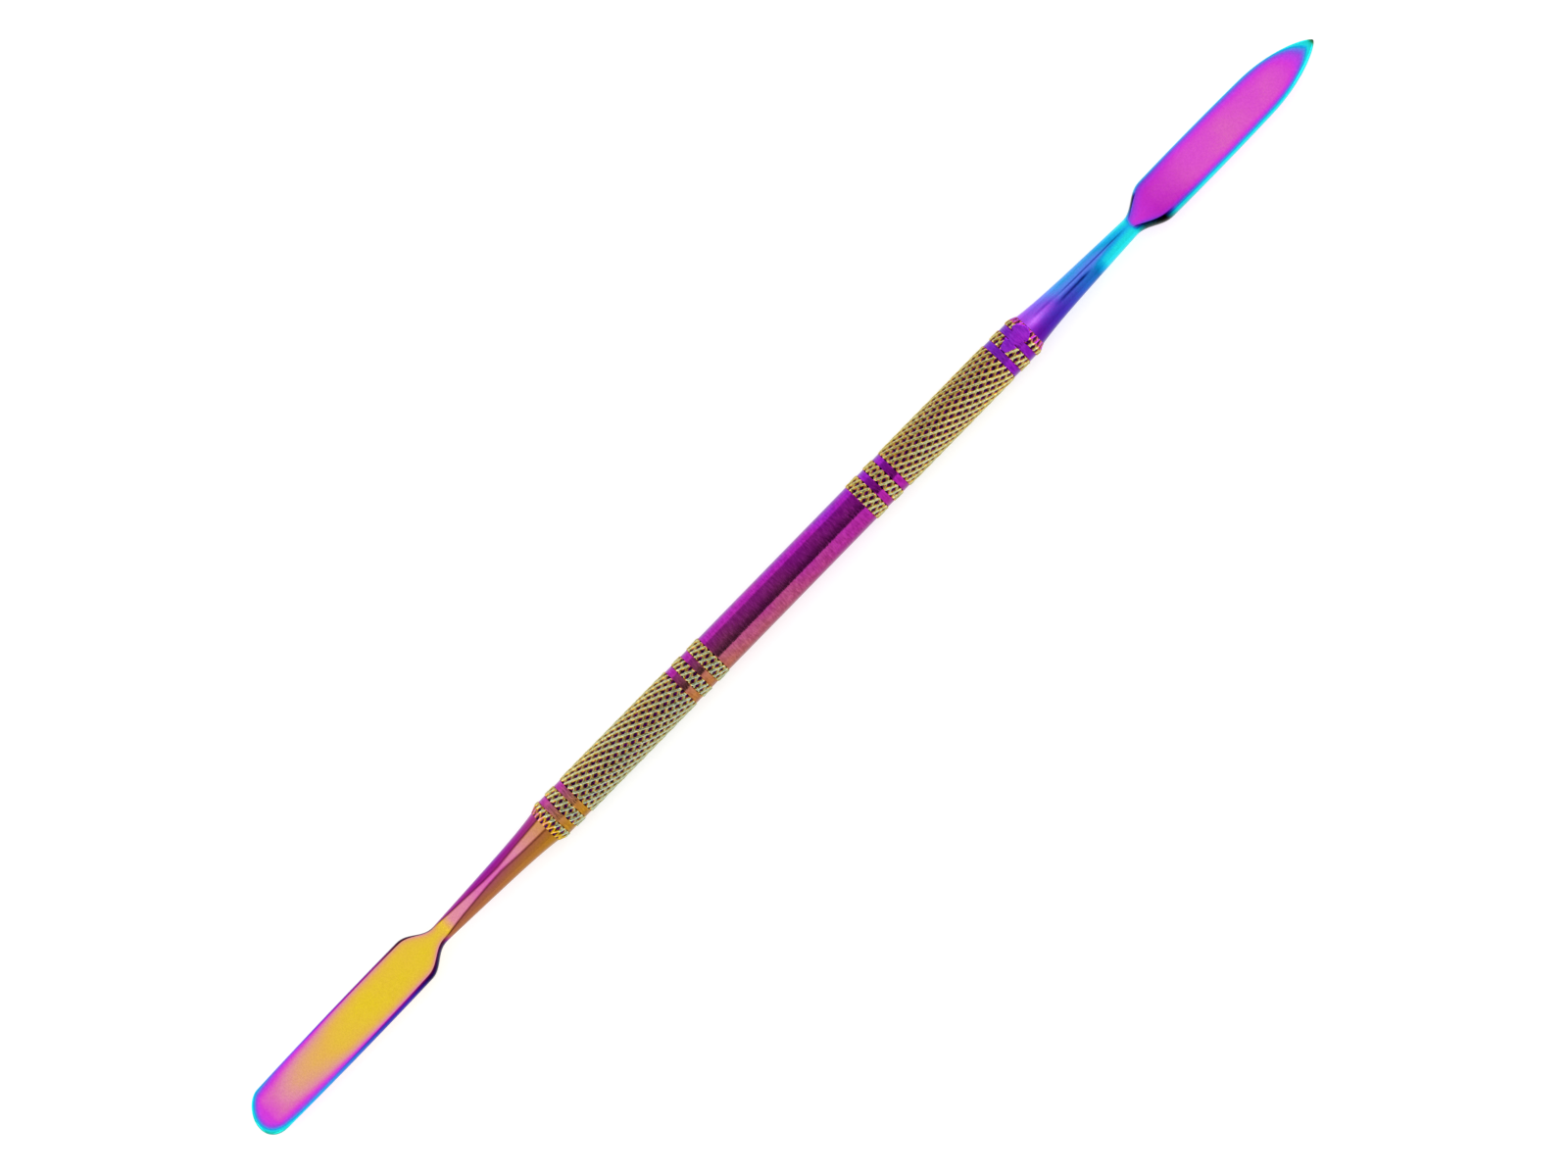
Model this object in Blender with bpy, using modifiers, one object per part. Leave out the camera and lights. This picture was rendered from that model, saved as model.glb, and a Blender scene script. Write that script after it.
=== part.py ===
"""Double-ended cuticle pusher: a knurled steel handle with a flat blade pressed into each end.

The tool lies along X, its round blade towards -X and its pointed blade towards +X. The blades
are level, and the handle rests on z = 0. All lengths are in metres.
Run it with: blender --background --python part.py
"""

import math

import bmesh
import bpy

MM = 0.001

# Handle: a round bar, turned down between its knurled bands. It has flat sides, because a knurled
# bar rests on two of the ridges around it and not on a line. Its radii are to the middle of a side.
GRIP_RADIUS = 2.5 * MM
TURNED_RADIUS = 0.95 * GRIP_RADIUS
BARE_LENGTH = 22.6 * MM
LONG_GRIP = 16.15 * MM
INNER_BAND = 1.75 * MM
BAND = 1.44 * MM
GROOVE = 0.91 * MM
BAND_CHAMFER = 0.1 * MM
END_CHAMFER = 0.9 * MM
END_RADIUS = 2.1 * MM
BAR_SIDES = 24

# Press fit of a blade's tang in the handle's socket.
TANG_RADIUS = 1.2 * MM
TANG_LENGTH = 9.0 * MM
TANG_FLAT = 0.93
TANG_LEAD = 0.3 * MM
SOCKET_DEPTH = 9.8 * MM
DRILL_POINT = math.radians(118)
TOUCH_GAP = 0.1 * MM

# Neck of a blade: a round taper with a narrow flat above and below, which widens to the blade.
NECK_LENGTH = 15.9 * MM
NECK_RADIUS = 2.06 * MM
WAIST_RADIUS = 1.09 * MM
NECK_SWELL = 0.28
NECK_FLAT = 0.97
FLAT_MEETS_BLADE = 15.5 * MM
FLAT_SLOPE = 0.087

# Blades, ground by hand, so neither is quite in line with the handle. Reaches and other places
# along a blade are from the handle's end face. A blade narrows from its widest place to its tip.
ROUND_REACH = 44.5 * MM
ROUND_FLARE_START = 15.9 * MM
ROUND_FLARE = 4.4 * MM
ROUND_HALF_WIDTH = 2.83 * MM
ROUND_WIDEST = 27.5 * MM
ROUND_NARROWING = 0.14 * MM
ROUND_TIP_LENGTH = 2.65 * MM
ROUND_TIP_SKEW = 0.57 * MM
ROUND_LEAN = 0.009
ROUND_ROOT_HALF_THICKNESS = 0.74 * MM
POINTED_REACH = 43.5 * MM
POINTED_FLARE_START = 15.0 * MM
POINTED_FLARE = 4.8 * MM
POINTED_HALF_WIDTH = 2.72 * MM
POINTED_WIDEST = 26.0 * MM
POINTED_NARROWING = 0.09 * MM
POINTED_OFFSET = 0.15 * MM
POINTED_ROOT_HALF_THICKNESS = 1.06 * MM
POINT_LENGTH = 8.7 * MM
POINT_FULLNESS = 0.7
TIP_HALF_THICKNESS = 0.35 * MM
EDGE_ROUND = 0.65

# Resolution of the blades' sections, and of the stations along them.
SIDE_STEPS = 8
NECK_STATIONS = 14
FLARE_STATIONS = 12
SIDE_STATIONS = 4
TIP_STATIONS = 12

HANDLE_LENGTH = BARE_LENGTH + 2 * (INNER_BAND + 3 * BAND + 4 * GROOVE + LONG_GRIP)
HANDLE_CENTRE = (ROUND_REACH - POINTED_REACH) / 2


def clear_scene():
    for obj in list(bpy.data.objects):
        bpy.data.objects.remove(obj)


def make_collection(name):
    collection = bpy.data.collections.new(name)
    bpy.context.scene.collection.children.link(collection)
    return collection


def coated_steel(name, colour, roughness):
    material = bpy.data.materials.new(name)
    material.use_nodes = True
    shader = material.node_tree.nodes["Principled BSDF"]
    shader.inputs["Base Color"].default_value = (*colour, 1)
    shader.inputs["Metallic"].default_value = 1
    shader.inputs["Roughness"].default_value = roughness
    return material


def finish(obj, material, collection):
    """Shades a mesh object smooth between its creases, and puts it in the tool's collection."""
    obj.data.materials.append(material)
    obj.data.shade_smooth()
    obj.data.set_sharp_from_angle(angle=math.radians(25))
    collection.objects.link(obj)


# ---------------------------------------------------------------- handle


def grip_outline():
    """(distance from the middle, radius) along half of the handle, out to its end face."""
    points = []
    at = BARE_LENGTH / 2
    for width in (INNER_BAND, BAND, LONG_GRIP, BAND):
        points += [
            (at, TURNED_RADIUS),
            (at + BAND_CHAMFER, GRIP_RADIUS),
            (at + width - BAND_CHAMFER, GRIP_RADIUS),
            (at + width, TURNED_RADIUS),
        ]
        at += width + GROOVE
    end = HANDLE_LENGTH / 2
    return points + [
        (at, TURNED_RADIUS),
        (at + BAND_CHAMFER, GRIP_RADIUS),
        (end - END_CHAMFER, GRIP_RADIUS),
        (end, END_RADIUS),
    ]


def socket_outline():
    """(distance from the middle, radius) of the drilled socket, from its mouth to its point."""
    mouth = HANDLE_LENGTH / 2
    floor = mouth - SOCKET_DEPTH
    radius = TANG_RADIUS + TOUCH_GAP
    return [
        (mouth, radius),
        (floor, radius),
        (floor - radius / math.tan(DRILL_POINT / 2), 0),
    ]


def turned(name, outline, sides):
    """A solid turned about X from its (x, radius) outline, which starts and ends on the axis."""
    mesh = bpy.data.meshes.new(name + "_outline")
    corner = 1 / math.cos(math.pi / sides)
    edges = [(i, i + 1) for i in range(len(outline) - 1)]
    mesh.from_pydata([(x, radius * corner, 0) for x, radius in outline], edges, [])
    blank = bpy.data.objects.new(name + "_outline", mesh)
    bpy.context.scene.collection.objects.link(blank)
    screw = blank.modifiers.new("turn", "SCREW")
    screw.axis = "X"
    screw.steps = screw.render_steps = sides
    screw.use_merge_vertices = True
    screw.merge_threshold = 0.01 * MM
    graph = bpy.context.evaluated_depsgraph_get()
    solid = bpy.data.meshes.new_from_object(blank.evaluated_get(graph))
    bpy.data.objects.remove(blank)
    return bpy.data.objects.new(name, solid)


def build_handle():
    half = grip_outline() + socket_outline()
    outline = list(reversed(half)) + [(-x, radius) for x, radius in half]
    handle = turned("knurled_handle", outline, BAR_SIDES)
    handle.location = (HANDLE_CENTRE, 0, GRIP_RADIUS)
    handle.rotation_euler = (math.pi / BAR_SIDES, 0, 0)
    return handle


# ---------------------------------------------------------------- blades


def clamp(value):
    return min(max(value, 0), 1)


def smooth_step(t):
    """0 to 1 over t = 0 to 1, with neither a corner nor a jump in curvature at its ends."""
    t = clamp(t)
    return t**3 * (10 - 15 * t + 6 * t * t)


def quarter_round(left):
    """Height of a rounded end, as a share, at this share of its length from the very end."""
    return math.sqrt(1 - (1 - left) ** 2)


def neck_radius(s):
    """Radius of the neck at s from the handle: an even taper that swells to meet the handle."""
    left = clamp(1 - s / NECK_LENGTH)
    share = (1 - NECK_SWELL) * left + NECK_SWELL * left**6
    return WAIST_RADIUS + (NECK_RADIUS - WAIST_RADIUS) * share


def pointed_tip(left):
    """Width of the pointed tip, as a share, at this share of its length from the point."""
    return (1 - (1 - left) ** 2) ** POINT_FULLNESS


def round_shift(s, _flare, left):
    """How far the round blade's middle lies off the handle's axis: it leans, and ends askew."""
    return ROUND_LEAN * max(s - FLAT_MEETS_BLADE, 0) + ROUND_TIP_SKEW * (1 - left) ** 1.5


def pointed_shift(_s, flare, left):
    """How far the pointed blade's middle lies off the handle's axis, which its tip meets."""
    return POINTED_OFFSET * flare * pointed_tip(left)


def ring(x, half_width, corner, flat, roundness, shift=0):
    """Points around one section: two sides that bulge to half_width, between level flats.

    The flats end at y = corner. The sides run from an arc of the bar (roundness 0) to the
    rounded edge of a blade (roundness 1). The section's middle lies at y = shift.
    """
    half = []
    for i in range(SIDE_STEPS + 1):
        turn = math.pi * (i / SIDE_STEPS - 0.5)
        z = flat * math.sin(turn)
        arc = math.sqrt(half_width**2 - (half_width**2 - corner**2) * math.sin(turn) ** 2)
        edge = corner + (half_width - corner) * math.cos(turn)
        half.append((x, (1 - roundness) * arc + roundness * edge, z))
    half.append((x, 0, flat))
    whole = half + [(x, -y, -z) for x, y, z in half]
    return [(x, y + shift, z) for x, y, z in whole]


def bar_ring(x, radius, flat):
    """A round section cut off by a flat above and below."""
    return ring(x, radius, math.sqrt(radius**2 - flat**2), flat, 0)


class Blade:
    """Tang, neck and blade in one forging. Its X runs out from the handle's end face."""

    def __init__(self, reach, root_half_thickness, flare, side, tip, shift):
        self.reach = reach
        self.root_half_thickness = root_half_thickness
        self.flare_start, self.flare = flare
        self.half_width, self.widest, self.narrowing = side
        self.tip, self.tip_length = tip
        self.shift = shift
        self.tip_start = reach - self.tip_length

    def flat_height(self, s):
        """Half-thickness between the flats, which rise from the blade's root up the neck."""
        root = self.root_half_thickness
        if s < FLAT_MEETS_BLADE:
            rising = root + FLAT_SLOPE * (FLAT_MEETS_BLADE - s)
            return min(rising, NECK_FLAT * neck_radius(s))
        share = (s - FLAT_MEETS_BLADE) / (self.reach - FLAT_MEETS_BLADE)
        return root + share * (TIP_HALF_THICKNESS - root)

    def tang_rings(self):
        lead = TANG_RADIUS - TANG_LEAD
        return [
            bar_ring(-TANG_LENGTH, lead, TANG_FLAT * lead),
            bar_ring(TANG_LEAD - TANG_LENGTH, TANG_RADIUS, TANG_FLAT * TANG_RADIUS),
            bar_ring(TOUCH_GAP, TANG_RADIUS, TANG_FLAT * TANG_RADIUS),
        ]

    def neck_rings(self):
        step = (self.flare_start - TOUCH_GAP) / NECK_STATIONS
        stations = [TOUCH_GAP + step * i for i in range(NECK_STATIONS)]
        return [bar_ring(s, neck_radius(s), self.flat_height(s)) for s in stations]

    def blade_stations(self):
        """Stations from the neck's waist to just short of the tip, crowding to the tip."""
        flare_end = self.flare_start + self.flare
        step = (self.tip_start - flare_end) / SIDE_STATIONS
        turn = math.pi / 2 / TIP_STATIONS
        flare = [self.flare_start + self.flare * i / FLARE_STATIONS for i in range(FLARE_STATIONS)]
        side = [flare_end + step * i for i in range(SIDE_STATIONS)]
        tip = [self.tip_start + self.tip_length * math.sin(turn * i) for i in range(TIP_STATIONS)]
        return flare + side + tip

    def side(self, s):
        """Half-width of the blade between its shoulders and its tip, which bows out a little."""
        away = (s - self.widest) / (self.tip_start - self.widest)
        return self.half_width - self.narrowing * away**2

    def blade_ring(self, s):
        flare = smooth_step((s - self.flare_start) / self.flare)
        left = self.reach - s
        tip_left = clamp(left / self.tip_length)
        waist = neck_radius(s)
        half_width = (waist + flare * (self.side(s) - waist)) * self.tip(tip_left)
        flat = self.flat_height(s)
        edge = EDGE_ROUND * flat
        if left < edge:
            flat *= quarter_round(left / edge)
        bar_corner = math.sqrt(max(half_width**2 - flat**2, 0))
        blade_corner = half_width - min(edge, 0.8 * half_width)
        corner = (1 - flare) * bar_corner + flare * blade_corner
        return ring(s, half_width, corner, flat, flare, self.shift(s, flare, tip_left))

    def rings(self):
        blade = [self.blade_ring(s) for s in self.blade_stations()]
        return self.tang_rings() + self.neck_rings() + blade

    def build(self, name):
        """A closed skin over the rings, flat across the first and drawn to a point at the tip."""
        shape = bmesh.new()
        loops = [[shape.verts.new(point) for point in points] for points in self.rings()]
        shape.faces.new(loops[0])
        for near, far in zip(loops, loops[1:]):
            for i, corner in enumerate(near):
                shape.faces.new((near[i - 1], corner, far[i], far[i - 1]))
        tip = shape.verts.new((self.reach, self.shift(self.reach, 1, 0), 0))
        for i, corner in enumerate(loops[-1]):
            shape.faces.new((loops[-1][i - 1], corner, tip))
        bmesh.ops.recalc_face_normals(shape, faces=shape.faces)
        mesh = bpy.data.meshes.new(name)
        shape.to_mesh(mesh)
        shape.free()
        return bpy.data.objects.new(name, mesh)


def build_round_blade():
    blade = Blade(
        reach=ROUND_REACH,
        root_half_thickness=ROUND_ROOT_HALF_THICKNESS,
        flare=(ROUND_FLARE_START, ROUND_FLARE),
        side=(ROUND_HALF_WIDTH, ROUND_WIDEST, ROUND_NARROWING),
        tip=(quarter_round, ROUND_TIP_LENGTH),
        shift=round_shift,
    ).build("round_blade")
    blade.location = (HANDLE_CENTRE - HANDLE_LENGTH / 2, 0, GRIP_RADIUS)
    blade.rotation_euler = (0, 0, math.pi)
    return blade


def build_pointed_blade():
    blade = Blade(
        reach=POINTED_REACH,
        root_half_thickness=POINTED_ROOT_HALF_THICKNESS,
        flare=(POINTED_FLARE_START, POINTED_FLARE),
        side=(POINTED_HALF_WIDTH, POINTED_WIDEST, POINTED_NARROWING),
        tip=(pointed_tip, POINT_LENGTH),
        shift=pointed_shift,
    ).build("pointed_blade")
    blade.location = (HANDLE_CENTRE + HANDLE_LENGTH / 2, 0, GRIP_RADIUS)
    return blade


def build():
    clear_scene()
    tool = make_collection("cuticle_pusher")
    gold = coated_steel("gold_coated_steel", (0.78, 0.52, 0.06), 0.24)
    violet = coated_steel("violet_coated_steel", (0.34, 0.09, 0.42), 0.28)
    magenta = coated_steel("magenta_coated_steel", (0.62, 0.08, 0.55), 0.24)
    finish(build_round_blade(), gold, tool)
    finish(build_handle(), violet, tool)
    finish(build_pointed_blade(), magenta, tool)


build()
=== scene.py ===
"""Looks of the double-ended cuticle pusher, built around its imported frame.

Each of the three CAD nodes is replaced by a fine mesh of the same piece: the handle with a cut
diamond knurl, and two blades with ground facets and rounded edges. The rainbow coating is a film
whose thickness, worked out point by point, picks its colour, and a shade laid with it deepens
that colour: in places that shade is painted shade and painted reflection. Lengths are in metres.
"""

import math

import bpy
import numpy as np
from mathutils import Matrix, Vector


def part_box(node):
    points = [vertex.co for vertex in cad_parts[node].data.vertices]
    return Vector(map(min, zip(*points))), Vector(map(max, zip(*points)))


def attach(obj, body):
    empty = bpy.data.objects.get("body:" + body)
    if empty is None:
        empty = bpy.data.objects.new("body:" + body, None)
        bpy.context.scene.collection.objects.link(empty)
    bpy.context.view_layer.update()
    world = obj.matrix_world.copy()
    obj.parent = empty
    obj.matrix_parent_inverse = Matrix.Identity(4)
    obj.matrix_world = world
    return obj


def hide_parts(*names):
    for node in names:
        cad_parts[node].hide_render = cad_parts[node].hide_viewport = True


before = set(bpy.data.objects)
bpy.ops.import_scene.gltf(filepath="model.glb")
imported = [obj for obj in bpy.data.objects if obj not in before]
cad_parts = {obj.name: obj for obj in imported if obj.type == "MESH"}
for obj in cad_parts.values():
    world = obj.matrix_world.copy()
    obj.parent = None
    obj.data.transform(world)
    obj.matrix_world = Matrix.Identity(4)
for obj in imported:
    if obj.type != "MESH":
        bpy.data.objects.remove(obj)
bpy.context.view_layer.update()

MM = 0.001

# ---------------------------------------------------------------- sizes

HANDLE_LOW, HANDLE_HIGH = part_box("knurled_handle")
HANDLE_START, HANDLE_END = HANDLE_LOW.x, HANDLE_HIGH.x
HANDLE_MIDDLE = (HANDLE_START + HANDLE_END) / 2
GRIP_RADIUS = (HANDLE_HIGH.z - HANDLE_LOW.z) / 2
AXIS_HEIGHT = (HANDLE_HIGH.z + HANDLE_LOW.z) / 2
ROUND_REACH = HANDLE_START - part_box("round_blade")[0].x
POINTED_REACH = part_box("pointed_blade")[1].x - HANDLE_END

# Knurled bands, from the bare middle of the handle out to each end.
TURNED_RADIUS = 0.95 * GRIP_RADIUS
INNER_BAND = 1.75 * MM
BAND = 1.44 * MM
LONG_GRIP = 16.15 * MM
GROOVE = 0.91 * MM
BAND_CHAMFER = 0.1 * MM
END_CHAMFER = 0.9 * MM
END_RADIUS = 2.1 * MM
KNURLED_LENGTH = INNER_BAND + 3 * BAND + LONG_GRIP
BARE_HALF = (HANDLE_END - HANDLE_START) / 2 - KNURLED_LENGTH - 4 * GROOVE

# Diamond knurl: ridges of both hands, the same number around the bar in each.
RIDGES = 19
KNURL_PITCH = 1.52 * MM
KNURL_DEPTH = 0.26 * MM
# From the middle of a ridge, as shares of the way to the next: its crest ends, its pit starts.
RIDGE_SHARE = 0.03
PIT_SHARE = 0.42
# Ridges of the second hand are lower by this share of the depth, and pits shallower at the ends.
CROSS_RIDGE_DROP = 0.25
END_DEPTH_SHARE = 0.6
KNURL_BURR = 0.02 * MM
BURR_SEED = 3
STEPS_PER_RIDGE = 11
COLUMNS = RIDGES * STEPS_PER_RIDGE
# The wall at each edge of a band has rows of points of its own, this far apart.
BAND_EDGE = 0.03 * MM
# Further rows on the bare middle of the handle, and in each groove.
BARE_ROWS = 20
GROOVE_ROWS = 2
# A band that comes this near to an end of the handle is its end band.
NEAR_END = 0.1 * MM

# Flat dressed across the bands beside the pointed blade: its height over the bar's axis at the
# handle's end, and how steeply it climbs from there. Points this close to it are on it.
DRESSED_HEIGHT = 2.1 * MM
DRESSED_SLOPE = 0.1
ON_FLAT = 0.0001 * MM

# Tangs and their sockets.
TANG_RADIUS = 1.2 * MM
TANG_LENGTH = 9.0 * MM
TANG_CHAMFER = 0.3 * MM
# Height and half-width of the small flats above and below a tang, as shares of its radius.
TANG_FLAT = (0.93, 0.37)
SOCKET_RADIUS = 1.3 * MM
SOCKET_DEPTH = 9.8 * MM
DRILL_TIP = 0.8 * MM
# Gap between the handle's end face and the neck.
SEAM = 0.01 * MM

# Necks, which taper evenly but for a swell against the handle.
NECK_LENGTH = 15.9 * MM
NECK_RADIUS = 2.06 * MM
WAIST_RADIUS = 1.09 * MM
NECK_SWELL = 0.28
SWELL_POWER = 6
FLAT_MEETS_BLADE = 15.5 * MM

# Blades, ground by hand, so neither is quite in line with the handle.
TIP_HALF_THICKNESS = 0.35 * MM
# A blade's edges are rounded by a share of its half-thickness, but at most of its half-width.
EDGE_ROUND = 0.65
EDGE_LIMIT = 0.8
# Least half-width, and least share of the full width, to divide by at the very tip.
LEAST_HALF = 0.1 * MM
LEAST_SHARE = 0.05
# Points up each side of a section and across each face, and rows along the tip and elsewhere.
SIDE_STEPS = 20
FACE_STEPS = 28
TIP_ROWS = 40
STATION = 0.2 * MM


def clamp(value):
    return min(max(value, 0), 1)


def smooth_step(t):
    """0 to 1 over t = 0 to 1, with neither a corner nor a jump in curvature at its ends."""
    t = np.clip(t, 0, 1)
    return t**3 * (10 - 15 * t + 6 * t * t)


def bell(distance, width):
    """1 at no distance, falling smoothly to nothing a few widths away."""
    return np.exp(-((distance / width) ** 2))


def along(at, *points):
    """Value at a place between (place, value) points, with places and lengths in millimetres."""
    places, values = zip(*points)
    return np.interp(np.asarray(at) / MM, places, values)


# ---------------------------------------------------------------- coating

# Film thickness runs from FILM_THIN to FILM_THICK, and its colour with it.
FILM_THIN, FILM_THICK = -0.2, 1.1
FILM_COLOURS = (
    (-0.20, (0.56, 0.63, 0.46)),
    (-0.10, (0.76, 0.68, 0.30)),
    (0.00, (0.80, 0.58, 0.02)),
    (0.10, (0.80, 0.46, 0.08)),
    (0.20, (0.76, 0.35, 0.23)),
    (0.28, (0.75, 0.25, 0.39)),
    (0.33, (0.74, 0.16, 0.46)),
    (0.38, (0.72, 0.09, 0.59)),
    (0.44, (0.67, 0.045, 0.68)),
    (0.48, (0.58, 0.05, 0.79)),
    (0.54, (0.38, 0.06, 0.75)),
    (0.60, (0.21, 0.11, 0.80)),
    (0.68, (0.08, 0.28, 0.84)),
    (0.72, (0.012, 0.33, 0.71)),
    (0.76, (0.011, 0.43, 0.82)),
    (0.84, (0.016, 0.72, 0.77)),
    (0.93, (0.011, 0.55, 0.46)),
    (1.02, (0.02, 0.20, 0.08)),
    (1.10, (0.01, 0.02, 0.01)),
)
# Shade is how much deeper the colour is made: 0 leaves it, 2 makes it black, and below 0 it is
# paler. Much of it is painted shade and painted reflection: the knurl's pits, the bar's edges,
# the blades' root walls, and lines and a highlight on the necks. The rest deepens the turned
# surfaces and some of the faces, and carries the turning marks.
PALE, BLACK = -0.5, 2.0
SHADE_GAMMA = 0.6
TURNED_SHADE = 0.5
# Painted shade, darkening the plain turned parts towards their +Y and -Y edges.
EDGE_PAINTED_SHADE = 0.5
RIDGE_SHADE = 0.05
# Film and painted shade at the bottom of a pit, which is reached at PIT_FULL of the knurl's depth.
PIT_FULL = 0.8
PIT_FILM = 0.5
PIT_PAINTED_SHADE = 1.7


def around_bar(side):
    """0 on the +Y side of the tool, where the film is thickest, to 1 on the -Y side."""
    return np.clip((0.9 - side) / 1.8, 0, 1)


def handle_film(x, side):
    """Film on the plain turned parts of the handle. side is 1 at +Y to -1 at -Y."""
    top = along(x, (-35, 0.40), (-10, 0.46), (10, 0.49), (31, 0.51), (34, 0.55))
    bottom = along(x, (-32, 0.09), (-13, 0.17), (-7, 0.26), (0, 0.31), (10, 0.38), (34, 0.5))
    return top + around_bar(side) * (bottom - top)


def ridge_film(x, side):
    """Film on the knurl's ridges, which is thin enough to be gold, and paler below -X."""
    top = along(x, (-37, -0.15), (-11, -0.15), (11, -0.12), (37, -0.11))
    bottom = along(x, (-37, -0.22), (-11, -0.21), (11, -0.16), (37, -0.14))
    return top + around_bar(side) ** 1.5 * (bottom - top)


# ---------------------------------------------------------------- meshes

# A corner that turns by more than this stays crisp.
SHARP = math.radians(62)


def grid_mesh(name, points, film, shade, ends):
    """A closed skin over rows of points that each run round the piece.

    film and shade are one value for each point. Each quad is split along the diagonal that
    keeps to a crest. ends are the points that close the first and the last row.
    """
    rows, columns = points.shape[:2]
    index = np.arange(rows * columns).reshape(rows, columns)
    a = index[:-1]
    b = np.roll(index, -1, axis=1)[:-1]
    c = np.roll(index, -1, axis=1)[1:]
    d = index[1:]
    points, film, shade = points.reshape(-1, 3), film.reshape(-1), shade.reshape(-1)
    # How far out each point is from the bar's axis, which tells a crest from its slopes.
    out = np.hypot(points[:, 1], points[:, 2] - AXIS_HEIGHT)
    split_ac = (np.abs(out[a] - out[c]) <= np.abs(out[b] - out[d]))[..., None]
    first = np.where(split_ac, np.stack([a, b, c], -1), np.stack([a, b, d], -1))
    second = np.where(split_ac, np.stack([a, c, d], -1), np.stack([b, c, d], -1))
    triangles = [first.reshape(-1, 3), second.reshape(-1, 3)]
    for end, row, order in ((ends[0], index[0], 1), (ends[1], index[-1], -1)):
        centre = np.full(columns, len(points))
        fan = [np.roll(row, -1), row, centre][::order]
        triangles.append(np.stack(fan, -1))
        points = np.vstack([points, [end]])
        film = np.append(film, film[row[0]])
        shade = np.append(shade, shade[row[0]])
    mesh = bpy.data.meshes.new(name)
    mesh.from_pydata(points.tolist(), [], np.vstack(triangles).tolist())
    for label, values in (("film", film), ("shade", shade)):
        layer = mesh.attributes.new(label, "FLOAT", "POINT")
        layer.data.foreach_set("value", values.astype(np.float32))
    mesh.update()
    mesh.shade_smooth()
    mesh.set_sharp_from_angle(angle=SHARP)
    piece = bpy.data.objects.new(name, mesh)
    bpy.context.scene.collection.objects.link(piece)
    return piece


def add_piece(piece, material, node):
    """Gives a piece its material, and puts it in the place of a CAD node."""
    piece.data.materials.append(material)
    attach(piece, "root")
    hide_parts(node)


# ---------------------------------------------------------------- handle


def bands():
    """(start, end) of each knurled band, from the -X end of the handle to the +X end."""
    half = []
    at = BARE_HALF
    for width in (INNER_BAND, BAND, LONG_GRIP, BAND, BAND):
        half.append((at, at + width))
        at += width + GROOVE
    both = [(-end, -start) for start, end in reversed(half)] + half
    return [(HANDLE_MIDDLE + start, HANDLE_MIDDLE + end) for start, end in both]


def at_handle_end(start, end):
    """Whether a band is the first on the handle, and whether it is the last."""
    return start < HANDLE_START + NEAR_END, end > HANDLE_END - NEAR_END


def handle_envelope(x):
    """Radius of the handle at x before its knurl is cut."""
    points = []
    for start, end in bands():
        first, last = at_handle_end(start, end)
        points += [
            (start, END_RADIUS if first else TURNED_RADIUS),
            (start + (END_CHAMFER if first else BAND_CHAMFER), GRIP_RADIUS),
            (end - (END_CHAMFER if last else BAND_CHAMFER), GRIP_RADIUS),
            (end, END_RADIUS if last else TURNED_RADIUS),
        ]
    places, radii = zip(*points)
    return np.interp(x, places, radii)


def handle_stations():
    """Places along the handle for its rows of points, in step with the knurl on the bands."""
    step = KNURL_PITCH / STEPS_PER_RIDGE
    # Knurl rows keep this far from the rows at a band's corners.
    gap = 0.3 * step
    stations = []
    previous = None
    for start, end in bands():
        if previous is not None:
            count = GROOVE_ROWS if start - previous < 2 * GROOVE else BARE_ROWS
            stations += [previous + BAND_EDGE]
            stations += list(np.linspace(previous + 2 * BAND_EDGE, start - 2 * BAND_EDGE, count))
            stations += [start - BAND_EDGE]
        first, last = at_handle_end(start, end)
        low = start + (0 if first else BAND_CHAMFER)
        high = end - (0 if last else BAND_CHAMFER)
        steps = np.arange(math.ceil((low + gap) / step), math.floor((high - gap) / step) + 1)
        stations += sorted({start, low}) + list(steps * step) + sorted({high, end})
        previous = end
    return np.array(stations)


def ridge_height(turns):
    """1 along a rounded ridge to 0 in the pit between two, for a place counted in ridges."""
    away = np.abs(turns - np.round(turns))
    fall = np.clip((away - RIDGE_SHARE) / (PIT_SHARE - RIDGE_SHARE), 0, 1)
    return 1 - fall * fall * (3 - 2 * fall)


def knurl_pit(x, theta):
    """Depth of the knurl, as a share: 0 on the ridges to 1 in the pits."""
    around = theta * RIDGES / (2 * math.pi)
    lead = ridge_height(around - x / KNURL_PITCH)
    cross = ridge_height(around + x / KNURL_PITCH) * (1 - CROSS_RIDGE_DROP)
    return 1 - np.maximum(lead, cross)


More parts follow.
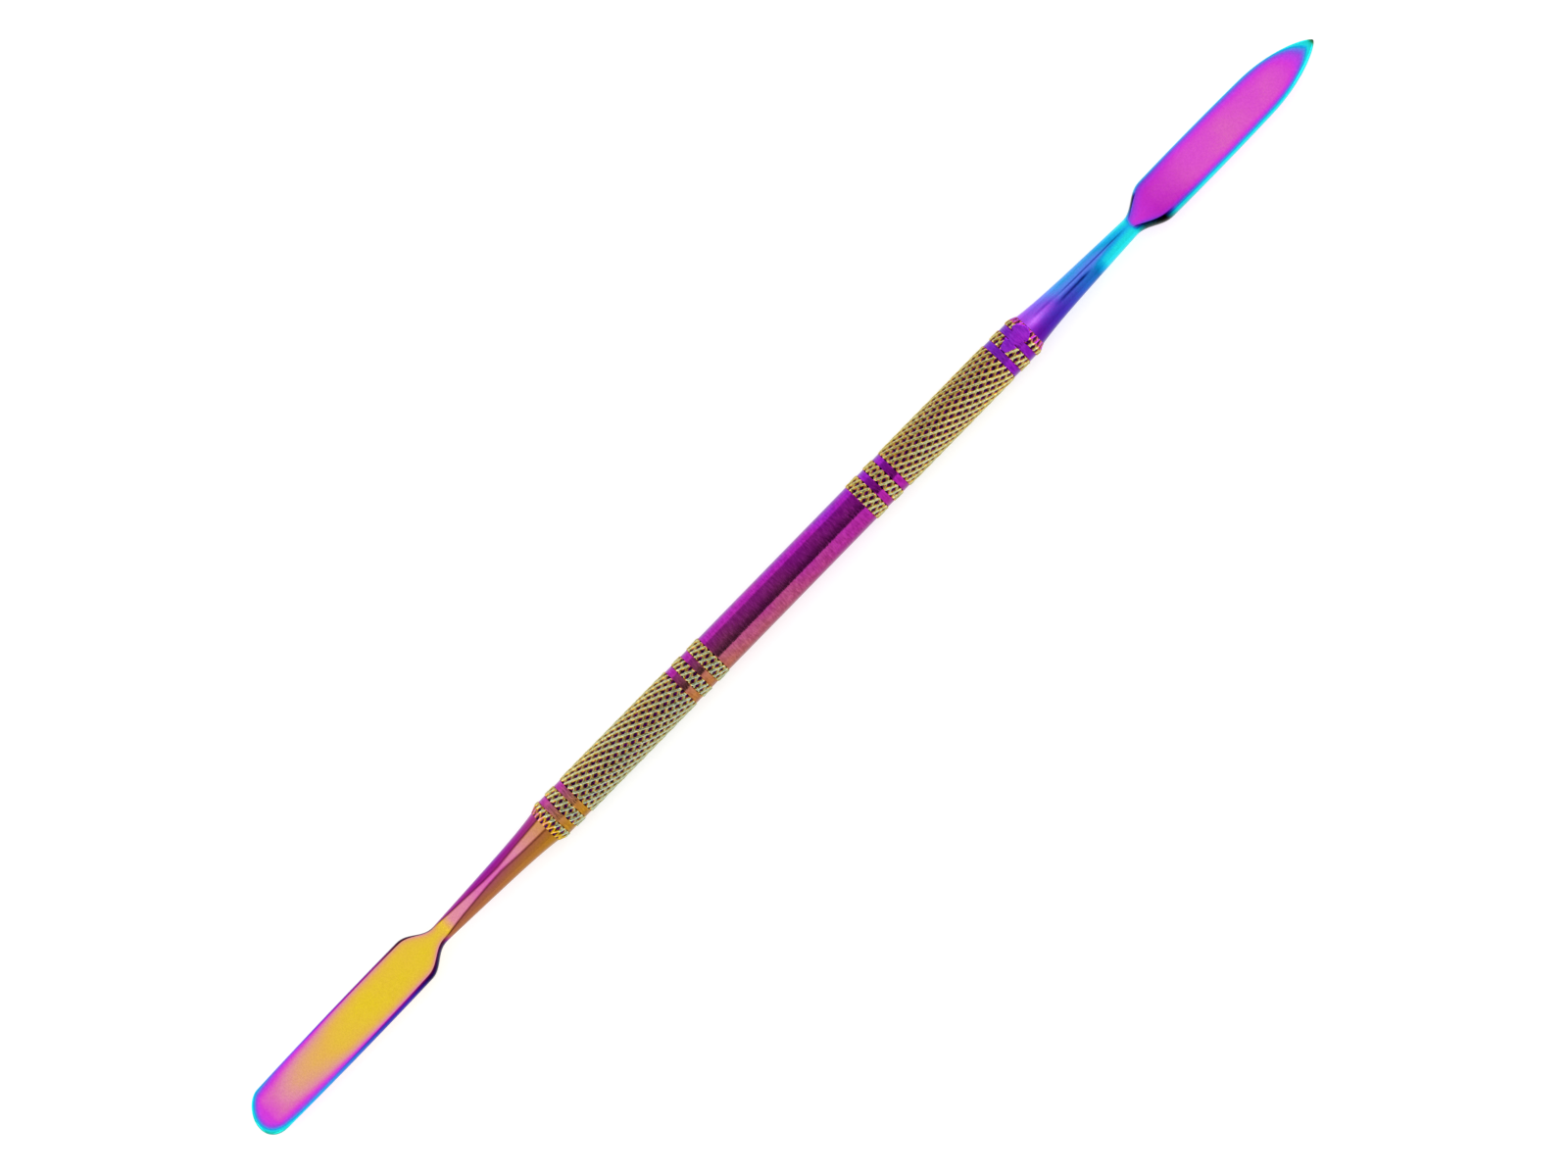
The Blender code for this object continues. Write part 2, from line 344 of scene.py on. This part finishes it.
def build_handle():
    x = handle_stations()[:, None]
    theta = (np.arange(COLUMNS) * 2 * math.pi / COLUMNS)[None, :]
    envelope = handle_envelope(x)
    knurled = np.zeros_like(x)
    for start, end in bands():
        knurled += (x >= start) & (x <= end)
    # The dressed flat takes off whatever stands above it, the knurl with it. Round the bar's
    # lower half it is left far out of reach.
    dressed = DRESSED_HEIGHT + DRESSED_SLOPE * (HANDLE_END - x)
    cut = dressed / np.maximum(np.sin(theta), 0.01)
    knurled = knurled * (cut > envelope)
    pit = knurl_pit(x, theta) * knurled
    from_end = np.minimum(x - HANDLE_START, HANDLE_END - x)
    depth = KNURL_DEPTH * np.clip(END_DEPTH_SHARE + from_end / END_CHAMFER, 0, 1)
    torn = np.random.default_rng(BURR_SEED).normal(size=pit.shape)
    burr = np.abs(torn) * KNURL_BURR * knurled
    radius = np.minimum(envelope - depth * pit - burr, cut)
    side = np.cos(theta) + 0 * x
    film = handle_film(x, side)
    # Ridges stay gold, and the film thickens down into the pits.
    raised = np.clip((radius - TURNED_RADIUS) / (GRIP_RADIUS - TURNED_RADIUS), 0, 1)
    in_pit = np.clip(pit / PIT_FULL, 0, 1)
    gold = ridge_film(x, side)
    gold = gold + in_pit**4 * (PIT_FILM - gold)
    film = film + (gold - film) * np.clip(raised * 3 + in_pit, 0, 1) * knurled
    on_flat = cut <= radius + ON_FLAT
    film = np.where(on_flat, handle_film(x, side), film)
    # Painted shade: the colour darkens from the ridges down into the pits.
    shade = RIDGE_SHADE + (PIT_PAINTED_SHADE - RIDGE_SHADE) * in_pit
    # Off the knurl, painted shade darkens the turned bar towards its +Y and -Y edges.
    shade = np.where(knurled > 0, shade, TURNED_SHADE + EDGE_PAINTED_SHADE * np.abs(side) ** 3)
    shade = np.where(on_flat, TURNED_SHADE, shade)
    points = np.stack(
        [x + 0 * theta, radius * np.cos(theta), AXIS_HEIGHT + radius * np.sin(theta)], -1
    )
    # Each end is closed by its socket: its floor, its mouth and, last, the point of the drill.
    sockets = []
    for at in (HANDLE_START + SOCKET_DEPTH, HANDLE_START, HANDLE_END, HANDLE_END - SOCKET_DEPTH):
        across = SOCKET_RADIUS * np.cos(theta[0])
        height = AXIS_HEIGHT + SOCKET_RADIUS * np.sin(theta[0])
        sockets.append(np.stack([np.full(COLUMNS, at), across, height], -1))
    points = np.concatenate([sockets[:2], points, sockets[2:]])
    film = np.concatenate([film[:1], film[:1], film, film[-1:], film[-1:]])
    shade = np.concatenate([shade[:1], shade[:1], shade, shade[-1:], shade[-1:]])
    drilled = SOCKET_DEPTH + DRILL_TIP
    ends = (
        (HANDLE_START + drilled, 0, AXIS_HEIGHT),
        (HANDLE_END - drilled, 0, AXIS_HEIGHT),
    )
    return grid_mesh("handle_knurled", points, film, shade, ends)


# ---------------------------------------------------------------- blades


class Blade:
    """Tang, neck and blade. s is the distance out from the handle's end face.

    Its kinds say where it starts and which way it points (origin, outward), how far it reaches,
    where its neck flares into the blade, how wide that is and where, and how long its tip is.
    tip(left) is the tip's outline, with left falling from 1 to 0 along it, shift() is how far the
    blade lies towards +Y, facet(s) is half the width of the flat ground along the neck, and
    coating() gives the film and the shade of a section's points.
    """

    def place(self, s):
        """Middle and half-width of the section at s, and its flare: 0 on the neck, 1 on the blade."""
        flare = float(smooth_step((s - self.flare_start) / self.flare))
        tip_start = self.reach - self.tip_length
        away = (s - self.widest) / (tip_start - self.widest)
        blade_half = self.widest_half - self.narrowing * away**2
        left = clamp((self.reach - s) / self.tip_length)
        waist = self.neck_radius(s)
        half_width = (waist + flare * (blade_half - waist)) * self.tip(left)
        return self.shift(s, flare, left), half_width, flare

    def neck_radius(self, s):
        left = clamp(1 - s / NECK_LENGTH)
        share = (1 - NECK_SWELL) * left + NECK_SWELL * left**SWELL_POWER
        return WAIST_RADIUS + (NECK_RADIUS - WAIST_RADIUS) * share

    def flat_height(self, s):
        """Height of the upper face over the tool's axis."""
        root = self.root_half_thickness
        if s < FLAT_MEETS_BLADE:
            return math.sqrt(self.neck_radius(s) ** 2 - self.facet(s) ** 2)
        share = (s - FLAT_MEETS_BLADE) / (self.reach - FLAT_MEETS_BLADE)
        return root + share * (TIP_HALF_THICKNESS - root)

    def stations(self):
        """Places along the neck and blade for their rows of points, closer towards the tip."""
        body = np.arange(SEAM, self.reach - self.tip_length, STATION)
        turn = np.linspace(0, math.pi / 2, TIP_ROWS, endpoint=False)
        tip = self.reach - self.tip_length + self.tip_length * np.sin(turn)
        return np.concatenate([body[:-1], tip])

    def section(self, s):
        """(middle, half-width, half-thickness, half-width of the flat face, flare) at s."""
        middle, half_width, flare = self.place(s)
        left = self.reach - s
        flat = self.flat_height(s)
        edge = EDGE_ROUND * flat
        if left < edge:
            flat *= math.sqrt(1 - (1 - left / edge) ** 2)
        bar_corner = math.sqrt(max(half_width**2 - flat**2, 0))
        blade_corner = half_width - min(edge, EDGE_LIMIT * half_width)
        corner = (1 - flare) * bar_corner + flare * blade_corner
        return middle, half_width, flat, corner, flare

    def sections(self):
        """(s, section) from the tang's end to the tip."""
        high, half = TANG_FLAT
        found = []
        for along_tang, radius in (
            (0, TANG_RADIUS - TANG_CHAMFER),
            (TANG_CHAMFER, TANG_RADIUS),
            (TANG_LENGTH, TANG_RADIUS),
        ):
            section = (0, radius, radius * high, radius * half, 0)
            found.append((along_tang - TANG_LENGTH + SEAM, section))
        return found + [(s, self.section(s)) for s in self.stations()]

    def build(self, name):
        # Each section runs up its +Y side, back over the upper face, down its -Y side and under.
        rows, films, shades = [], [], []
        turn = np.pi * (np.arange(SIDE_STEPS + 1) / SIDE_STEPS - 0.5)
        level = np.cos(np.pi * np.arange(1, FACE_STEPS) / FACE_STEPS)
        on_face = np.tile(np.concatenate([[1], np.zeros(SIDE_STEPS - 1), np.ones(FACE_STEPS)]), 2)
        for s, (middle, half_width, flat, corner, flare) in self.sections():
            z = flat * np.sin(turn)
            arc = np.sqrt(half_width**2 - (half_width**2 - corner**2) * np.sin(turn) ** 2)
            edge = corner + (half_width - corner) * np.cos(turn)
            y = np.concatenate([(1 - flare) * arc + flare * edge, corner * level])
            z = np.concatenate([z, np.full(FACE_STEPS - 1, flat)])
            y, z = np.concatenate([y, -y]), np.concatenate([z, -z])
            side = y / max(half_width, LEAST_HALF)
            film, shade = self.coating(s, y, side, half_width, corner, on_face)
            x = np.full(len(y), self.origin + self.outward * s)
            rows.append(np.stack([x, middle + y, AXIS_HEIGHT + z], -1))
            films.append(film)
            shades.append(shade)
        ends = [
            (self.origin - self.outward * TANG_LENGTH, 0, AXIS_HEIGHT),
            (self.origin + self.outward * self.reach, self.shift(self.reach, 1, 0), AXIS_HEIGHT),
        ]
        turned = slice(None, None, self.outward)
        points, film, shade = np.array(rows), np.array(films), np.array(shades)
        return grid_mesh(name, points[turned], film[turned], shade[turned], ends[turned])


class RoundBlade(Blade):
    origin = HANDLE_START
    outward = -1
    reach = ROUND_REACH
    root_half_thickness = 0.74 * MM
    flare_start = 15.9 * MM
    flare = 4.4 * MM
    widest_half = 2.83 * MM
    widest = 27.5 * MM
    narrowing = 0.14 * MM
    tip_length = 2.65 * MM
    tip_skew = 0.57 * MM
    lean = 0.009

    def tip(self, left):
        return math.sqrt(1 - (1 - left) ** 2)

    def shift(self, s, _flare, left):
        """It leans away from the handle's line, and its tip is ground askew."""
        return -self.lean * max(s - FLAT_MEETS_BLADE, 0) - self.tip_skew * (1 - left) ** 1.5

    def facet(self, s):
        """Half-width of the flat ground along the neck, which is narrowest midway."""
        return along(s, (0, 0.66), (3.5, 0.48), (6.6, 0.25), (8.7, 0.31), (13, 0.59),
                     (15.5, 0.82)) * MM

    def coating(self, s, y, side, half_width, corner, on_face):
        # Neck: the ground facet is lighter than its sides, and outlined by painted dark reflections.
        upper = along(s, (0, 0.40), (6.6, 0.48), (14.5, 0.42))
        lower = along(s, (0, 0.08), (3.5, 0.12), (8.7, 0.16), (13, 0.17))
        facet = along(s, (0, 0.16), (3.5, 0.26), (6.6, 0.33), (9, 0.33), (14.1, 0.25),
                      (15.2, 0.04))
        neck = upper + around_bar(side) * (lower - upper)
        neck = neck + (facet - neck) * on_face
        neck_shade = 0.9 * (1 - on_face)
        neck_shade += along(s, (0, 0.3), (4, 0)) * on_face
        # Painted dark reflections along both edges of the facet.
        neck_shade += 0.9 * bell(np.abs(y) - corner, 0.09 * MM)

        # Blade: the film is thickest at its rim, and past a plateau there it thins inwards.
        centre = along(s, (27.6, 0.02), (31.8, 0.05), (36, 0.14), (38.1, 0.19), (40.2, 0.28),
                       (42.3, 0.375), (42.8, 0.44))
        rim = along(s, (16, 0.45), (21, 0.52), (27.6, 0.58), (34, 0.63), (38, 0.68), (41.3, 0.78),
                    (43, 0.88), (44.5, 0.94))
        rim = rim + 0.06 * np.clip(-side, 0, 1)
        reach_in = along(s, (21, 0.35), (27.6, 0.42), (31.8, 0.52), (38.1, 0.74), (41, 0.63)) * MM
        crispness = along(s, (40, 1), (43, 2))
        tip_start = self.reach - self.tip_length
        if s > tip_start:
            left = clamp((self.reach - s) / self.tip_length)
            full = half_width / max(self.tip(left), LEAST_SHARE)
            inward = (1 - np.hypot((s - tip_start) / self.tip_length, y / full)) * self.tip_length
        else:
            inward = half_width - np.abs(y)
        plateau = along(s, (16, 0), (20, 0.18), (34, 0.15), (42, 0)) * MM
        inward = np.maximum(inward - plateau * np.where(side < 0, 1, 0.7), 0)
        blade = centre + (rim - centre) * np.exp(-((inward / reach_in) ** crispness))
        # Painted shade: the side walls by the blade's root are darkened, black at their darkest.
        wall_painted_shade = along(s, (15.5, 0.8), (16.5, 1.8), (20, 1.8), (23.4, 1), (27.6, 0.8), (36, 0))
        blade_shade = wall_painted_shade * (1 - on_face)

        # From the neck's coating onto the blade's.
        onto = smooth_step((s / MM - 14.9) / 1.5)
        return neck + onto * (blade - neck), neck_shade + onto * (blade_shade - neck_shade)


class PointedBlade(Blade):
    origin = HANDLE_END
    outward = 1
    reach = POINTED_REACH
    root_half_thickness = 1.06 * MM
    flare_start = 15.0 * MM
    flare = 4.8 * MM
    widest_half = 2.72 * MM
    widest = 26.0 * MM
    narrowing = 0.09 * MM
    tip_length = 8.7 * MM
    tip_fullness = 0.7
    offset = 0.15 * MM

    def tip(self, left):
        return (1 - (1 - left) ** 2) ** self.tip_fullness

    def shift(self, _s, flare, left):
        """It lies to one side of the handle's line, which its point meets."""
        return self.offset * flare * self.tip(left)

    def facet(self, s):
        return along(s, (0, 0.1), (14.5, 0.12), (15.5, 0.32)) * MM

    def coating(self, s, y, side, half_width, _corner, on_face):
        # Neck: violet turning cyan, with painted reflections, a fine dark line and a darker slit, a
        # painted highlight by the handle, and painted shade on its -Y side.
        upper = along(s, (0, 0.54), (3, 0.62), (5, 0.69), (9.4, 0.71), (13, 0.78), (15.5, 0.84))
        middle = along(s, (0, 0.54), (3, 0.56), (5, 0.64), (11, 0.66), (13, 0.7), (15.5, 0.76))
        lower = along(s, (0, 0.54), (3, 0.59), (7.3, 0.66), (9.4, 0.7), (11, 0.82), (15.5, 0.85))
        neck = np.interp(side, (-0.5, 0, 0.6), (lower, middle, upper))
        # Painted shade on the -Y side, fading out away from the handle.
        neck_shade = np.clip(-side * 1.5, 0, 1) * along(s, (0, 1.0), (9.4, 0.6), (11, 0))
        # A painted dark reflection: a fine line along the neck.
        line = along(s, (1, 0.3), (7, 0.1)) * MM
        neck_shade += along(s, (1, 0), (3, 0.9), (13, 0.9), (15, 0)) * bell(y - line, 0.07 * MM)
        # A painted dark reflection: a darker slit on the -Y side.
        painted_slit = along(s, (3.5, 0), (5, 1.5), (8, 1.5), (9.3, 0))
        neck_shade += painted_slit * bell(y + 0.42 * MM, 0.11 * MM)
        # A painted highlight: paler colour near the handle.
        glow = along(s, (0, 0.3), (1, 0.6), (3.5, 0))
        neck_shade -= glow * bell(y + 0.15 * MM, 0.4 * MM)

        # Blade: the film thickens towards its rims and its point, which is nearly black.
        from_tip = self.reach - s
        centre = along(s, (18, 0.45), (20, 0.42), (24, 0.385), (30, 0.375))
        centre += 0.7 * math.exp(-from_tip / (1.6 * MM))
        inward = (half_width - np.abs(y)) / MM
        upper_rim = 0.55 * np.exp(-inward / 0.42)
        lower_rim = 0.55 * np.exp(-((inward / 0.42) ** 1.5))
        blade = np.minimum(centre + np.where(side > 0, upper_rim, lower_rim), 0.85)
        blade = blade + 0.25 * bell(from_tip, 0.5 * MM)
        blade_shade = (0.25 + 0.2 * np.clip(-side, 0, 1)) * along(s, (16, 0.3), (19, 1), (25, 0))
        # Painted shade: the side walls by the blade's root are black, over a longer stretch on the -Y
        # side.
        upper_wall_painted_shade = along(s, (15.8, 0), (17, 1.65), (17.9, 1.65), (18.4, 0))
        lower_wall_painted_shade = along(s, (15.5, 0.3), (16.6, 1.65), (18.8, 1.65), (20.2, 0))
        wall_painted_shade = np.where(side > 0, upper_wall_painted_shade, lower_wall_painted_shade)
        blade_shade = blade_shade + wall_painted_shade * (1 - on_face)

        # From the neck's coating onto the blade's.
        onto = smooth_step((s / MM - 15.2) / 0.9)
        return neck + onto * (blade - neck), neck_shade + onto * (blade_shade - neck_shade)


# ---------------------------------------------------------------- materials


class Nodes:
    """Short calls for the nodes of one material."""

    def __init__(self, name):
        self.material = bpy.data.materials.new(name)
        self.material.use_nodes = True
        self.tree = self.material.node_tree
        self.shader = self.tree.nodes["Principled BSDF"]
        self.shader.inputs["Metallic"].default_value = 1

    def add(self, kind, **settings):
        node = self.tree.nodes.new(kind)
        for key, value in settings.items():
            setattr(node, key, value)
        return node

    def feed(self, value, socket):
        """Links another node's output to a socket, or sets the socket to a plain value."""
        if hasattr(value, "is_linked"):
            self.tree.links.new(value, socket)
        else:
            socket.default_value = value

    def plus(self, value, other):
        node = self.add("ShaderNodeMath", operation="ADD")
        self.feed(value, node.inputs[0])
        self.feed(other, node.inputs[1])
        return node.outputs[0]

    def attribute(self, name):
        """A number that each of the mesh's points has."""
        return self.add("ShaderNodeAttribute", attribute_name=name).outputs["Fac"]

    def noise(self, scale, detail=2.0, roughness=0.5):
        """Noise of so many features a metre along each axis, from 0 to 1."""
        place = self.add("ShaderNodeTexCoord").outputs["Object"]
        mapping = self.add("ShaderNodeMapping")
        mapping.inputs["Scale"].default_value = scale
        self.feed(place, mapping.inputs["Vector"])
        node = self.add("ShaderNodeTexNoise")
        node.inputs["Scale"].default_value = 1
        node.inputs["Detail"].default_value = detail
        node.inputs["Roughness"].default_value = roughness
        self.feed(mapping.outputs[0], node.inputs["Vector"])
        return node.outputs["Fac"]

    def span(self, value, low, high, to_low=0.0, to_high=1.0):
        """A value carried, and held, from one range to another."""
        node = self.add("ShaderNodeMapRange")
        for key, number in (("From Min", low), ("From Max", high), ("To Min", to_low),
                            ("To Max", to_high)):
            node.inputs[key].default_value = number
        self.feed(value, node.inputs["Value"])
        return node.outputs[0]

    def film_colour(self, film):
        """The coating's colour for its thickness."""
        ramp = self.add("ShaderNodeValToRGB")
        stops = ramp.color_ramp.elements
        stops.remove(stops[1])
        spread = FILM_THICK - FILM_THIN
        for number, (thickness, colour) in enumerate(FILM_COLOURS):
            place = (thickness - FILM_THIN) / spread
            stop = stops[number] if number < 1 else stops.new(place)
            stop.position = place
            stop.color = (*colour, 1)
        self.feed(self.span(film, FILM_THIN, FILM_THICK), ramp.inputs["Fac"])
        return ramp.outputs["Color"]

    def deepen(self, colour, shade):
        """A darker and richer colour, from no change at shade 0 to black at shade 2."""
        richer = self.add("ShaderNodeGamma")
        self.feed(colour, richer.inputs["Color"])
        gamma = self.span(shade, PALE, BLACK, 1 + SHADE_GAMMA * PALE, 1 + SHADE_GAMMA * BLACK)
        self.feed(gamma, richer.inputs["Gamma"])
        mix = self.add("ShaderNodeMix", data_type="RGBA", blend_type="MULTIPLY")
        mix.inputs["Factor"].default_value = 1
        self.feed(richer.outputs[0], mix.inputs["A"])
        self.feed(self.span(shade, PALE, BLACK, 1 - PALE / BLACK, 0), mix.inputs["B"])
        return mix.outputs["Result"]

    def bump(self, height, distance):
        node = self.add("ShaderNodeBump")
        node.inputs["Strength"].default_value = 1
        node.inputs["Distance"].default_value = distance
        self.feed(height, node.inputs["Height"])
        self.feed(node.outputs[0], self.shader.inputs["Normal"])


# The film drifts slowly from place to place, and flecks finely.
DRIFT_SCALE = (260, 260, 260)
FLECK_SCALE = (6000, 6000, 6000)
FLECK = 0.012
# Nearly all of a noise's values lie in its first range, and the marks come from a narrower one.
NOISE_RANGE = (0.3, 0.7)
MARK_RANGE = (0.35, 0.65)


def coating(name, film_drift, grain_scale, grain_shade, roughness, grain_depth):
    """Rainbow-coated steel. grain_scale is how many marks a metre there are along each axis."""
    nodes = Nodes(name)
    drift = nodes.span(nodes.noise(DRIFT_SCALE), *NOISE_RANGE, -film_drift, film_drift)
    fleck = nodes.span(nodes.noise(FLECK_SCALE), *NOISE_RANGE, -FLECK, FLECK)
    film = nodes.plus(nodes.plus(nodes.attribute("film"), drift), fleck)
    grain = nodes.noise(grain_scale, detail=3, roughness=0.6)
    marks = nodes.span(grain, *MARK_RANGE, grain_shade, -grain_shade)
    # The mesh's shade, partly painted shade and painted reflection, and the turning marks deepen the
    # film's colour.
    shade = nodes.plus(nodes.attribute("shade"), marks)
    nodes.feed(nodes.deepen(nodes.film_colour(film), shade), nodes.shader.inputs["Base Color"])
    nodes.feed(nodes.span(grain, *NOISE_RANGE, *roughness), nodes.shader.inputs["Roughness"])
    nodes.bump(grain, grain_depth)
    return nodes.material


# ---------------------------------------------------------------- studio

VIEW_LIFT = math.radians(77)
VIEW_TURN = math.radians(45.68)
CAMERA_DISTANCE = 0.7
LENS = 150
FRAME_WIDTH = 168 * MM
# The middle of the frame lies this far right of and below the tool's middle.
FRAME_OFFSET = (-0.015 * MM, 0.666 * MM)

FLOOR_HALF = 3
FLOOR_GREY = 0.55
FLOOR_GLOW = 0.62

# The tool mirrors a dim ceiling over its middle, with a white room and four softboxes past it.
# Arcs are (angle, brightness) points, in degrees from the view towards +Y, and spans (x, share).
CEILING_DISTANCE = 120 * MM
CEILING_ARC = (
    (-30, 0.06),
    (-25, 0.07),
    (-15, 0.09),
    (0, 0.16),
    (15, 0.27),
    (31, 0.33),
    (47, 0.37),
    (64, 0.40),
    (70, 0.45),
    (76, 1.0),
)
CEILING_SPAN = ((-39, 1), (22, 1), (42, 0.2))
SOFTBOX_DISTANCE = 200 * MM
SOFTBOX_GLOW = 2.5
SOFTBOX_SPANS = (("left", ((-300, 1), (-150, 1))), ("right", ((150, 1), (300, 1))))
SOFTBOX_ARCS = (("back", (25, 75)), ("front", (-70, -25)))


def view_axes():
    """The camera's right, up and back directions: the tool's +X points up to the right."""
    back = Vector((0, -math.cos(VIEW_LIFT), math.sin(VIEW_LIFT)))
    across = back.cross(Vector((1, 0, 0)))
    right = math.cos(VIEW_TURN) * Vector((1, 0, 0)) - math.sin(VIEW_TURN) * across
    up = math.sin(VIEW_TURN) * Vector((1, 0, 0)) + math.cos(VIEW_TURN) * across
    return right, up, back


def make_camera():
    right, up, back = view_axes()
    data = bpy.data.cameras.new("camera")
    data.lens = LENS
    data.sensor_width = FRAME_WIDTH / CAMERA_DISTANCE * LENS
    camera = bpy.data.objects.new("camera", data)
    target = Vector((0, 0, AXIS_HEIGHT)) + right * FRAME_OFFSET[0] - up * FRAME_OFFSET[1]
    camera.matrix_world = Matrix.Translation(target + back * CAMERA_DISTANCE) @ Matrix(
        (right, up, back)
    ).transposed().to_4x4()
    bpy.context.scene.collection.objects.link(camera)
    bpy.context.scene.camera = camera


def make_floor():
    mesh = bpy.data.meshes.new("floor")
    corners = [(x * FLOOR_HALF, y * FLOOR_HALF, 0) for x, y in ((-1, -1), (1, -1), (1, 1), (-1, 1))]
    mesh.from_pydata(corners, [], [(0, 1, 2, 3)])
    floor = bpy.data.objects.new("floor", mesh)
    bpy.context.scene.collection.objects.link(floor)
    material = bpy.data.materials.new("pale_floor")
    material.use_nodes = True
    shader = material.node_tree.nodes["Principled BSDF"]
    shader.inputs["Base Color"].default_value = (FLOOR_GREY, FLOOR_GREY, FLOOR_GREY, 1)
    shader.inputs["Roughness"].default_value = 0.9
    shader.inputs["Emission Color"].default_value = (1, 1, 1, 1)
    shader.inputs["Emission Strength"].default_value = FLOOR_GLOW
    shader.inputs["Specular IOR Level"].default_value = 0.1
    floor.data.materials.append(material)


def make_world():
    world = bpy.data.worlds.new("studio")
    world.use_nodes = True
    world.node_tree.nodes["Background"].inputs["Color"].default_value = (1, 1, 1, 1)
    world.node_tree.nodes["Background"].inputs["Strength"].default_value = 1.0
    bpy.context.scene.world = world


def make_card(name, distance, arc, spans):
    """A card bent round the tool, that shows only in its reflections.

    It fades into the white studio where the share in its spans is small.
    """
    back = view_axes()[2]
    across = back.cross(Vector((1, 0, 0)))
    points, glow = [], []
    for degrees, brightness in arc:
        angle = math.radians(degrees)
        middle = distance * (math.cos(angle) * back + math.sin(angle) * across)
        for x, share in spans:
            points.append(middle + Vector((x * MM, 0, AXIS_HEIGHT)))
            glow.append(1 + share * (brightness - 1))
    wide = len(spans)
    faces = []
    for row in range(len(arc) - 1):
        for column in range(wide - 1):
            corner = row * wide + column
            faces.append((corner, corner + 1, corner + wide + 1, corner + wide))
    mesh = bpy.data.meshes.new(name)
    mesh.from_pydata(points, [], faces)
    mesh.attributes.new("glow", "FLOAT", "POINT").data.foreach_set("value", glow)
    card = bpy.data.objects.new(name, mesh)
    bpy.context.scene.collection.objects.link(card)
    material = bpy.data.materials.new(name)
    material.use_nodes = True
    tree = material.node_tree
    tree.nodes.remove(tree.nodes["Principled BSDF"])
    light = tree.nodes.new("ShaderNodeEmission")
    source = tree.nodes.new("ShaderNodeAttribute")
    source.attribute_name = "glow"
    tree.links.new(source.outputs["Fac"], light.inputs["Strength"])
    tree.links.new(light.outputs[0], tree.nodes["Material Output"].inputs["Surface"])
    card.data.materials.append(material)
    card.visible_camera = False
    card.visible_diffuse = False
    card.visible_shadow = False
    card.visible_transmission = False


def make_studio():
    bpy.context.scene.view_settings.view_transform = "Standard"
    make_world()
    make_floor()
    make_card("ceiling", CEILING_DISTANCE, CEILING_ARC, CEILING_SPAN)
    for end, spans in SOFTBOX_SPANS:
        for side, angles in SOFTBOX_ARCS:
            arc = [(angle, SOFTBOX_GLOW) for angle in angles]
            make_card(f"softbox_{side}_{end}", SOFTBOX_DISTANCE, arc, spans)


# ---------------------------------------------------------------- making it


def main():
    make_camera()
    make_studio()
    # The handle's turning marks run round it, and the blades are polished.
    turned = {
        "film_drift": 0.02,
        "grain_scale": (5500, 1300, 1300),
        "grain_shade": 0.2,
        "roughness": (0.1, 0.2),
        "grain_depth": 0.02 * MM,
    }
    polished = {
        "film_drift": 0.015,
        "grain_scale": (6000, 4000, 4000),
        "grain_shade": 0.06,
        "roughness": (0.14, 0.22),
        "grain_depth": 0.001 * MM,
    }
    grip = coating("coated_grip", **turned)
    gold = coating("coated_round_blade", **polished)
    rose = coating("coated_pointed_blade", **polished)
    add_piece(build_handle(), grip, "knurled_handle")
    add_piece(RoundBlade().build("blade_round"), gold, "round_blade")
    add_piece(PointedBlade().build("blade_pointed"), rose, "pointed_blade")


main()
